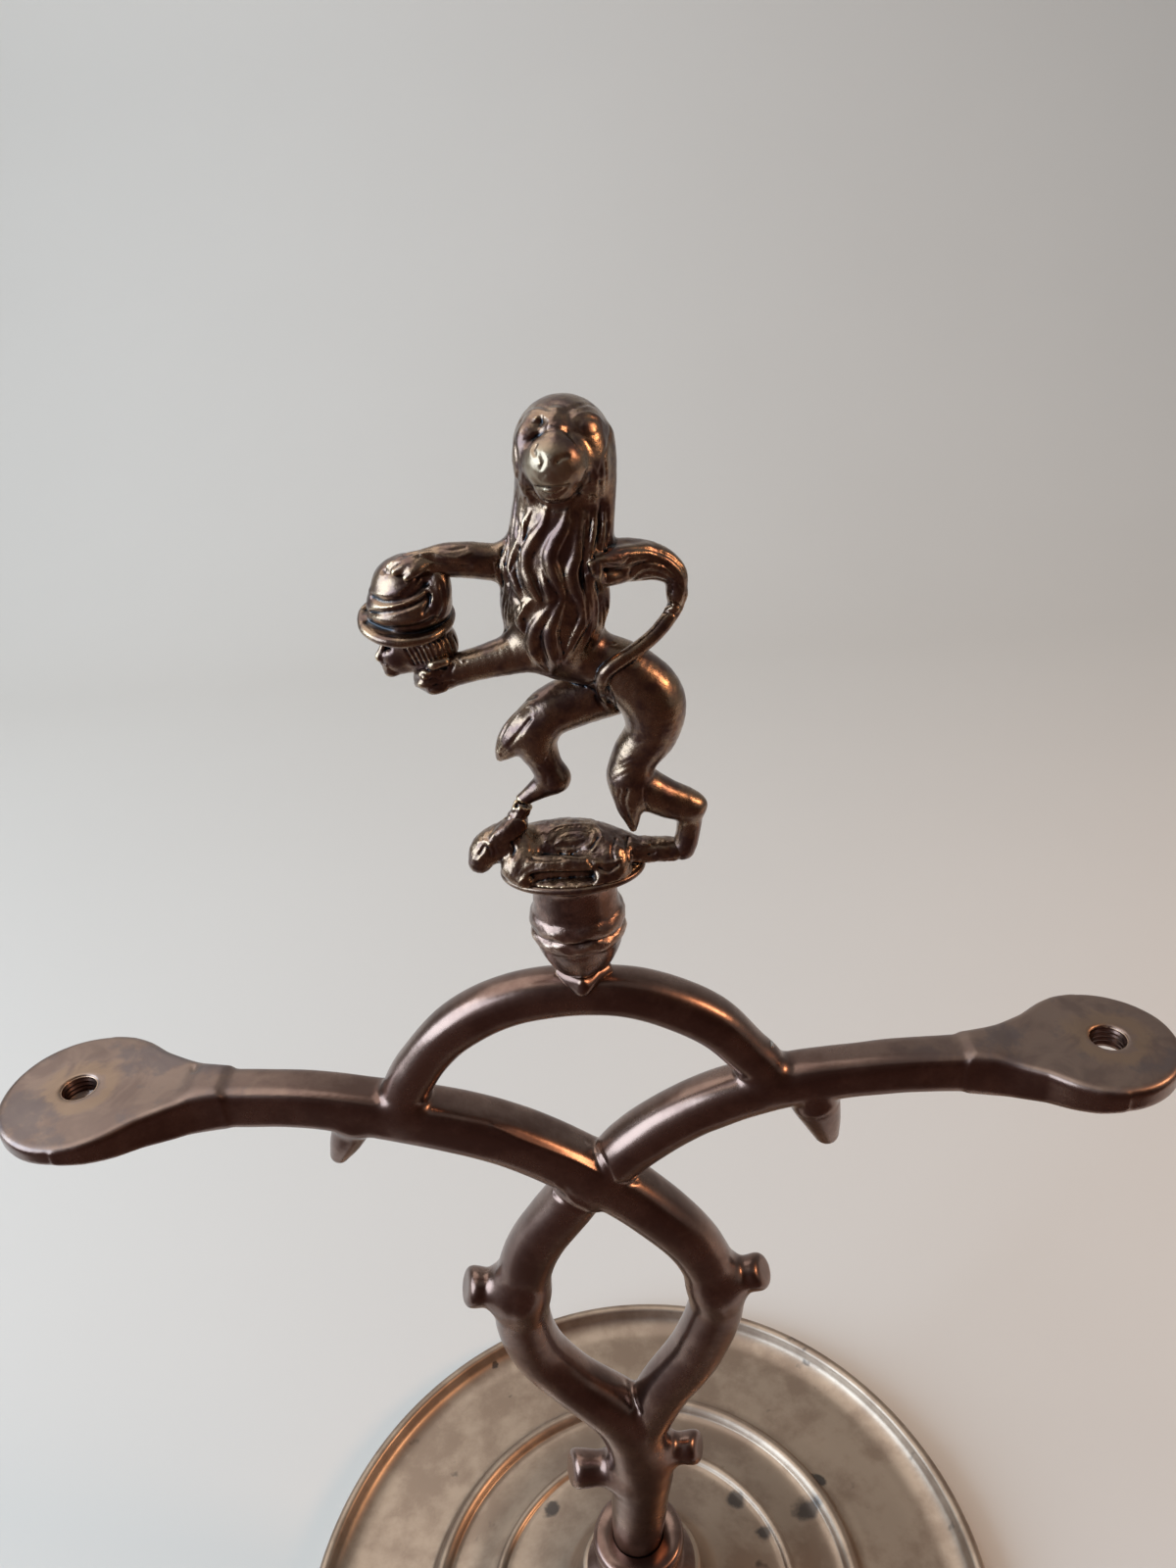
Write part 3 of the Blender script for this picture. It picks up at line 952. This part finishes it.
BEAST_MARKS = [
    (0.6, 0.5, [(-10, 10), (-9.8, 8.5), (-10.3, 7.4)]),
    (0.5, 0.45, [(-16.2, 8), (-15, 9.6), (-14.4, 8.8), (-14.4, 7.3)]),
    (0.5, -0.3, [(-16.2, 10.5), (-14.8, 10.7), (-13.9, 9.9)]),
    (0.5, -0.25, [(-17.6, 7.1), (-16.7, 6.7), (-15.9, 7.8)]),
    (0.4, 0.3, [(-13.8, 9.7), (-13.3, 8.3), (-13.6, 6.8)]),
    (1, 0.5, [(-6.8, 2.4), (-4.5, 2.9), (-0.5, 2.8), (3.5, 2.3), (4.2, 1.3)]),
    (0.6, -0.35, [(-8.9, 2), (-7, 3.6), (-3.7, 3.8), (0.9, 3.4), (4.2, 3.6)]),
    (0.8, 0.35, [(-2.5, 9.5), (-1, 11.3), (1.9, 11.8), (4.2, 11.1), (3.4, 9.4), (0.7, 8.5),
          (-1.9, 8.7)]),
    (0.5, -0.25, [(-3.8, 9.9), (-2.2, 12.5), (1.7, 13.1), (5.6, 12.3), (6.4, 10), (4.5, 7.4),
          (1.2, 6.7)]),
    (0.5, 0.3, [(-0.1, 10.4), (1.5, 10.7), (2.8, 10.2)]),
    (0.5, 0.35, [(-1.4, 7.1), (1.2, 6.5), (3.9, 7.5), (5.7, 10)]),
    (0.6, 0.4, [(-6.7, 6.5), (-4.5, 6), (-1.5, 6)]),
    (0.6, 0.45, [(5.5, 3.5), (7.1, 2.6), (8.9, 3.8)]),
    (0.5, -0.35, [(5, 4.7), (6.9, 4.2), (9.6, 5.1)]),
    (0.6, 0.4, [(8.9, 9.4), (8.1, 7.2), (8.3, 4.9)]),
    (0.6, 0.4, [(11.2, 9.6), (10.8, 7.7), (11.1, 5)]),
    (0.5, -0.3, [(11.8, 8.4), (13.1, 7.8), (15, 7.8)]),
    (0.45, 0.3, [(11.6, 6.1), (13.9, 5.6), (15.9, 6)]),
    (0.5, 0.35, [(3.7, 5.2), (4.4, 3.6), (4.1, 1.7)]),
]
BACK_HAIR = [
    (0.42, 0.36, [(-25.4 + 0.9 * i, 50.2), (-24.6 + 0.86 * i, 48.2), (-23.8 + 0.8 * i, 45.4)])
    for i in range(10)
]
LOCKS = [                       # radius and (x, z) points
    (1.1, [(-0.3, 70.5), (-1.4, 68.5), (-2.1, 66), (-3.7, 63.4), (-4.2, 61), (-3.7, 58.5),
          (-3.2, 56.2)]),
    (1.3, [(9.8, 69.6), (9, 66.2), (8.1, 62.2), (7.8, 58.1), (8, 53.9), (7.4, 50), (5.8, 46.6)]),
    (1.2, [(11.3, 69.2), (10.8, 65.8), (9.8, 63.2), (9.3, 60.5), (10.1, 57.1), (10.1, 53.7),
          (9.6, 50.4)]),
    (1.3, [(7.7, 69.7), (6.9, 66.4), (6.3, 62.9), (5.3, 60.3), (5.4, 57.8), (6.5, 55.2), (6.5, 52.3),
          (4.9, 49.6), (3.6, 46.8), (2.5, 44.5)]),
    (1, [(0.6, 61), (1, 58.6), (1.5, 56.7), (1.1, 54.6)]),
    (1, [(-1, 56.2), (-2.9, 54.7), (-3.8, 53.4), (-3.6, 51.7), (-2.9, 49.4)]),
    (1.4, [(3.6, 56), (2, 52.9), (0.9, 50.4), (0.9, 47.5), (1.2, 45.2), (0.5, 43)]),
    (1.3, [(2.1, 55), (-0.2, 52.8), (-1.7, 50.6), (-2.2, 48.4), (-1.7, 46), (-0.4, 43.8)]),
    (1.4, [(5.8, 71), (4.6, 67.6), (3.1, 65.3), (2.1, 63), (2.4, 60.5), (3.2, 57.9), (3.7, 56)]),
    (1.3, [(2.6, 71.4), (1.6, 68.4), (-0.2, 66.1), (-1.5, 63.8), (-1.9, 61.4), (-1.4, 58.8), (-0.6, 56.5),
          (-0.4, 55.2)]),
]

BACK_STRANDS = 10


def back_strand(i):
    """A wavy line down the back of the mane, one of BACK_STRANDS, with its half width and depth."""
    t = np.linspace(0, 1, 7)
    x = 4.4 + (i - (BACK_STRANDS - 1) / 2) * (1.5 + 0.35 * t) + 0.55 * np.sin(7 * t + 1.7 * i)
    return 0.65, 0.5 - 0.1 * (i % 3), np.stack([x, 82 - 34 * t], 1)


lion = Field((-27.5, -15, -1), (28.5, 12.5, 88.5), 0.27)
tube(lion, [(5.2, 0.6, 78.6, 7.7), (4.5, 0.8, 70.6, 8.1), (3.6, 0.8, 63.6, 8.9), (2.1, 0.6, 57, 9.3),
            (1.2, 0.3, 50.8, 9), (2, 0, 46.2, 7.4), (5, 0, 42.8, 5.2)], squash=0.94)

# the lion's head
ball(lion, (5.3, 0, 78.6), (8.1, 8.2, 8.2), k=0.5)
ball(lion, (2.2, -4.4, 83.4), (2.3, 2.1, 1.6), (0, 0, 20), k=2)  # brows
ball(lion, (8.6, -3.6, 82.6), (2.6, 2.3, 1.8), (0, 0, -20), k=2.5)
ball(lion, (1.9, -7, 84.1), (1.6, 1, 0.8), k=0.6, mode="cut")  # left eye
ball(lion, (1.95, -5.55, 84.1), (0.72, 0.72, 0.72), k=0.1)
ball(lion, (0.6, -5.2, 81.9), (1.7, 1.5, 1.5), k=1.6)
tube(lion, [(4.9, -5.2, 84, 1.6), (4.6, -8.4, 80.6, 2.4)], k=1)  # bridge of the nose
ball(lion, (4.4, -8.3, 77.9), (5, 4.9, 4.7), k=0.35)  # muzzle
ball(lion, (4.1, -8.1, 74.6), (3.5, 3.5, 3), k=0.7)  # chin
ball(lion, (9.6, -4.4, 75.8), (2.8, 3.4, 4.8), (0, 0, 30), k=2.2)  # cheeks
ball(lion, (0, -4.2, 76.2), (2, 3, 4.4), (0, 0, -30), k=1.6)
ball(lion, (8.6, -5, 79.2), (2.8, 2.6, 3.8), k=2.6)  # sides of the muzzle
ball(lion, (0, -5.4, 78.8), (2.2, 2.6, 3.6), k=2)
tube(lion, [(11.6, -1.6, 80, 1.6), (11.9, -2.2, 76, 1.7), (11.4, -2.6, 71, 1.8), (10.6, -2.8, 64, 1.4)],
     k=2)

# its arms and paws
tube(lion, [(-1.6, 0, 60.6, 4), (-7.7, -0.6, 60.6, 3.2), (-12.3, -1.6, 61.6, 3.05), (-16.4, -2.2, 62, 2.8),
            (-19.8, -2.8, 61.7, 2.2), (-22.8, -3.4, 61.3, 1.7), (-24.8, -3.8, 60.6, 1.2)], k=2)
for x, y, z, size in ((-24.9, -4, 62.2, 0.9), (-23.9, -5.6, 61.6, 0.95), (-22, -6.6, 60.8, 0.85)):
    knuckle = ((x - 19) / 2, y + 0.6, z + 0.8, size * 1.2)
    tube(lion, [(-18.6, -3, 62.4, 1.5), knuckle, (x, y, z, size * 0.7)], k=0.9)
tube(lion, [(1, -2, 46.6, 5), (-6.2, -3.2, 45, 3.6), (-12.6, -3.8, 43.8, 2.9), (-17.4, -4, 42.9, 2.8),
            (-20.6, -4, 42.3, 2.4)], k=2)
ball(lion, (-19.8, -3.9, 42.3), (4.2, 3.3, 3), (0, -8, 0), k=0.8)
for x0, z0, x1, z1, size in ((-20.9, 44.6, -17.6, 45.6, 0.8), (-22.6, 43.2, -19.2, 43.9, 0.85),
                             (-23, 41.6, -19.6, 42.3, 0.9), (-21.4, 40.4, -18.6, 40.8, 0.8)):
    knuckle = ((x0 + x1) / 2 - 0.4, -6.9, (z0 + z1) / 2 + 0.2, size * 1.1)
    tube(lion, [(x1, -6.4, z1, size), knuckle, (x0, -5.6, z0, size * 0.75)], k=0.45)

# its legs and tail
tube(lion, [(8, 0, 41.8, 4.8), (13.4, -0.8, 38.4, 5.6), (17.2, -1, 33.4, 5.9), (16.8, -1, 27.6, 4.9),
            (13.4, -1, 22.4, 4.3), (12.6, -1, 18, 4.4), (17, -0.6, 14.2, 3.8), (21.4, -0.3, 11.9, 3.3)],
     k=1.6)
tube(lion, [(19, -0.4, 12.6, 3.2), (23.2, -0.4, 11.2, 2.8), (24.5, -0.4, 11.3, 1.8)], k=0.7)
tube(lion, [(22.9, -0.3, 11, 2.7), (22.7, 0, 7, 2.35), (22, 0, 3.6, 2.3), (21.3, 0, 1.9, 2.4)], k=1)
tube(lion, [(12, -1.6, 18.6, 3.6), (11.8, -2.4, 14, 2.7), (12.1, -2.8, 10.6, 1.5), (12.2, -3, 8.6, 0.7)],
     k=1.2)
tube(lion, [(9.8, 3, 35, 5.4), (2.8, 1.8, 33.1, 4.9), (-2.1, 0.6, 31.2, 4.5), (-4.4, 0, 27.2, 4.1),
            (-3.3, 0, 22.6, 3.1), (-2, 0, 19, 2.9)], k=0.4)
tube(lion, [(-1.6, 0, 18.6, 2.9), (-4.6, 0, 16.8, 2.1), (-7.2, 0, 15.1, 1.5), (-9, 0, 13.6, 1.4)], k=1)
tube(lion, [(-4.8, 0, 29.6, 3.9), (-8, 0, 27.4, 3.1), (-10, 0, 25.3, 2), (-11.2, 0, 23.8, 0.9)], k=1)
tube(lion, [(9, -1.4, 34.4, 0.9), (8.6, -4.6, 38.2, 1.15), (9.4, -6, 41.4, 1.25), (12, -5.6, 43.2, 1.3),
            (15.3, -4, 44.6, 1.35), (19.2, -1.8, 47, 1.35), (22, 0, 50.2, 1.45), (22.5, 0, 52.6, 1.7)], k=0.3)
tube(lion, [(22.5, 0, 52.6, 1.7), (22.2, 0, 56, 2.2), (19.4, 0, 58.2, 3), (14.4, -0.4, 59.2, 3.7),
            (9.4, -1.8, 59.4, 3.4)], k=0.8)
tube(lion, [(17.4, -1.6, 60.4, 1.8), (12.4, -4.4, 61, 1.7), (9.6, -6.6, 61, 1), (8.2, -7.2, 61, 0.5)], k=0.5)
tube(lion, [(13.4, -2.6, 57.6, 1.6), (11, -4.4, 57.6, 1.4), (9.4, -5.4, 58, 0.8)], k=0.5)

# its hair, chasing and broken foot
locks(lion, LOCKS)
chase(lion, HEAD_MARKS + MANE_MARKS + TUFT_MARKS + THIGH_MARKS + ARM_MARKS + PAW_MARKS)
ball(lion, (-10.3, 0, 11.1), (8, 5, 4), (0, 27.5, 0), mode="cut", k=0.15, box=0.2)
chase(lion, [back_strand(i) for i in range(BACK_STRANDS)], BACK_EYE, 8)
uneven(lion, 0.02, 3, 31)
figure_cast("lion_casting", lion, "lion")

# the crouching beast, and the lion's foot on its head
beast = Field((-21.5, -10, -0.6), (21.5, 8.5, 13), 0.24)
tube(beast, [(-10, 0.6, 3.6, 4), (-5, 1.4, 3.6, 4.6), (2, 1.4, 3.6, 4.6), (8, 0.6, 2.6, 3.8),
             (12, 0, 2.2, 2.7), (17, 0, 1.9, 2.4), (19.6, 0, 1.8, 2.2)], squash=1.15)
ball(beast, (0.3, -0.2, -0.5), (13.5, 9.1, 2.3))  # the ground under it
ball(beast, (-1.5, -4.9, 1), (7.2, 1.9, 1.2), k=0.2, box=0.4)
tube(beast, [(-9, -2.4, 3.4, 3.6), (-10.6, -4.4, 2.4, 2.6), (-9, -6.6, 1.1, 1.7)], k=1.5)
tube(beast, [(-9.4, -4.8, 3, 2.1), (-4, -5.8, 3.5, 1.8), (2, -5.9, 3.3, 1.7), (5.6, -5.6, 2.7, 1.7)], k=1)
tube(beast, [(5, -1.6, 3.4, 3.4), (8, -3.4, 2.6, 3.2), (8.4, -5.2, 1.4, 2.3), (5.4, -7, 0.9, 1.3)], k=1.2)
tube(beast, [(-9.6, 0, 5.4, 3.7), (-13.2, -0.8, 6.2, 3.6), (-16, -1.8, 5, 3.1), (-17.2, -2.6, 3.2, 2.3)],
     k=0.8)
tube(beast, [(-14.2, -2.6, 7, 2), (-11.6, -1.8, 8.8, 2.1), (-9.4, -0.9, 10.2, 1.9)], k=0.5, power=[2, 5, 5])
ball(beast, (0, 0, -9.9), (40, 40, 9.9), mode="cut", box=0.2)
chase(beast, BEAST_MARKS)
uneven(beast, 0.045, 2.2, 41)
uneven(beast, 0.04, 0.9, 42)
figure_cast("beast_casting", beast, "beast")

foot = Field((-13, -5, 6), (-4, 4, 16), 0.16)
tube(foot, [(-10.3, -0.9, 10, 1.9), (-9.2, -0.6, 11.6, 1.75), (-8.4, -0.4, 13, 1.75),
            (-7.8, -0.3, 14.2, 1.85)])
ball(foot, (-6.9, 0, 16.6), (5, 5, 3), (0, 24, 0), mode="cut", k=0.3, box=0.1)
ball(foot, (-9.3, -1.1, 14.1), (0.7, 0.6, 0.5), (0, 24, 0), mode="cut", k=0.5)
uneven(foot, 0.09, 1.1, 43)
figure_cast("broken_foot_casting", foot, "foot_stub", relax=5)

# the held head: face, hair, brim and crown
held = Field((-34.5, -12, 38), (-12.5, 9.5, 65), 0.22)
ball(held, (-22.8, -0.8, 47.8), (5.8, 5.6, 5.8))
ball(held, (-19.9, -2.4, 47.4), (4.3, 4.5, 4.7), k=0.8)
ball(held, (-26.2, -2.8, 46.5), (3.3, 3.1, 3.9), (0, -8, 0), k=0.8)
for side in (1.35, -1.35):  # closed eyes
    x, y = -28.3 + 0.5 * side, -3.7 - 0.87 * side
    ball(held, (x, y, 47.9), (0.9, 0.9, 0.6), k=0.8, mode="cut")
    ball(held, (x + 0.45, y + 0.3, 47.4), (0.8, 0.8, 0.6), k=0.6)
tube(held, [(-28.2, -3.8, 48, 0.55), (-29.2, -4.3, 46.5, 0.75), (-28.9, -4.2, 46, 0.6)], k=0.4)  # nose
tube(held, [(-28.7, -3, 45.1, 0.35), (-28.9, -4.1, 45.2, 0.42), (-28, -5, 45.1, 0.35)], k=0.15)  # lips
tube(held, [(-28.5, -3.1, 44.5, 0.35), (-28.7, -4, 44.45, 0.42), (-27.9, -4.8, 44.5, 0.35)], k=0.15)
ball(held, (-27.5, -3.8, 43.6), (1.4, 1.3, 1.1), k=0.5)
chase(held, HAIR_MARKS)
chase(held, BACK_HAIR, BACK_EYE, 4)
BRIM_TILT = (15, 5, 0)
ball(held, (-24.1, -1.2, 52.4), (8, 7.9, 1.1), BRIM_TILT, k=0.3)
ring = np.linspace(0, 2 * math.pi, 49)
edge = np.stack([7.6 * np.cos(ring), 7.5 * np.sin(ring), 0 * ring], 1) @ turned_matrix(BRIM_TILT).T
tube(held, np.column_stack([edge + (-24.1, -1.2, 52.2), np.full(len(ring), 0.85)]), k=0.5, steps=1)
ball(held, (-23.2, -1.2, 54.8), (7.3, 6.9, 4.8), (12, 4, 0), k=0.5)
ball(held, (-22.9, -0.9, 58), (6.2, 5.9, 5), (8, 4, 0), k=1.6)
ball(held, (-18, -2.6, 57), (2.5, 3.6, 5), (0, 8, 20), k=1.2)
chase(held, HAT_FOLDS)
uneven(held, 0.035, 3.5, 51)
figure_cast("held_head_casting", held, "hatted_head")


# camera, light and floor
def sight():
    """Camera matrix of the photograph."""
    forward = np.array([math.sin(PAN) * math.cos(TILT), math.cos(PAN) * math.cos(TILT), -math.sin(TILT)])
    right0 = np.array([math.cos(PAN), -math.sin(PAN), 0])
    down0 = np.cross(forward, right0)
    right = math.cos(ROLL) * right0 + math.sin(ROLL) * down0
    down = -math.sin(ROLL) * right0 + math.cos(ROLL) * down0
    m = np.eye(4)
    m[:3, 0], m[:3, 1], m[:3, 2] = right, -down, -forward
    m[:3, 3] = (EYE + STEM) * MM
    return Matrix(m.tolist())


camera = placed("camera", bpy.data.cameras.new("camera"))
camera.data.lens, camera.data.sensor_width = 27, 36
camera.data.clip_start = 0.01
camera.matrix_world = sight()
bpy.context.scene.camera = camera


def area_light(name, where, target, size, power, colour):
    light = bpy.data.lights.new(name, "AREA")
    light.shape, light.size, light.size_y = "RECTANGLE", size[0], size[1]
    light.energy, light.color = power, colour
    obj = placed(name, light)
    way = Vector(where) - Vector(target)
    obj.matrix_world = Matrix.Translation(where) @ way.to_track_quat("Z", "Y").to_matrix().to_4x4()


area_light("window_left", (-1.1, -0.35, 0.73), (0, 0, 0.2), (1.2, 1), 21.5, (0.66, 0.83, 1))
area_light("lamp_right", (0.85, -0.1, 0.7), (0, 0, 0.22), (0.2, 0.27), 3.4, (1, 0.53, 0.27))
area_light("ceiling", (-0.6, 0.35, 1.4), (-0.1, 0.2, 0), (1.4, 1.3), 8, (1, 0.95, 0.89))

world = bpy.data.worlds.new("world")
bpy.context.scene.world = world
world.use_nodes = True
background = world.node_tree.nodes["Background"].inputs
background["Color"].default_value = (0.62, 0.61, 0.59, 1)
background["Strength"].default_value = 0.4


def stage_sheet(name, points, sides, colours):
    """A plain sheet from a line of (y, z) points in metres, as wide as sides, in two close colours."""
    nodes = Nodes(name)
    nodes.put(nodes.shader, {"Base Color": nodes.mixed(nodes.noise(3, 3), *colours), "Roughness": 0.9})
    verts = [(x, y, z) for y, z in points for x in sides]
    faces = [(2 * i, 2 * i + 1, 2 * i + 3, 2 * i + 2) for i in range(len(points) - 1)]
    mesh = bpy.data.meshes.new(name)
    mesh.from_pydata(verts, [], faces)
    mesh.polygons.foreach_set("use_smooth", [True] * len(faces))
    mesh.materials.append(nodes.material)
    obj = placed(name, mesh)
    return obj


FLOOR, WALL, BEND = -0.0005, 1.25, 0.5      # height of the floor, place of the wall, radius between them
curve = [(WALL - BEND * (1 - math.sin(a)), FLOOR + BEND * (1 - math.cos(a)))
         for a in np.linspace(0, math.pi / 2, 33)]
stage_sheet("floor", [(-4, FLOOR), *curve, (WALL, 3)], (-4, 4), ((0.62, 0.595, 0.56), (0.66, 0.635, 0.6)))
# The dark side of the room, which only the metal's reflections show.
dark_room = stage_sheet("dark_room", [(-0.106, 0.001), (-0.9, 0.001), (-0.9, 1.6)], (-1.6, 1.6),
                        ((0.11, 0.048, 0.032), (0.08, 0.036, 0.025)))
dark_room.visible_camera = dark_room.visible_diffuse = dark_room.visible_shadow = False

bpy.context.scene.view_settings.view_transform = "Standard"
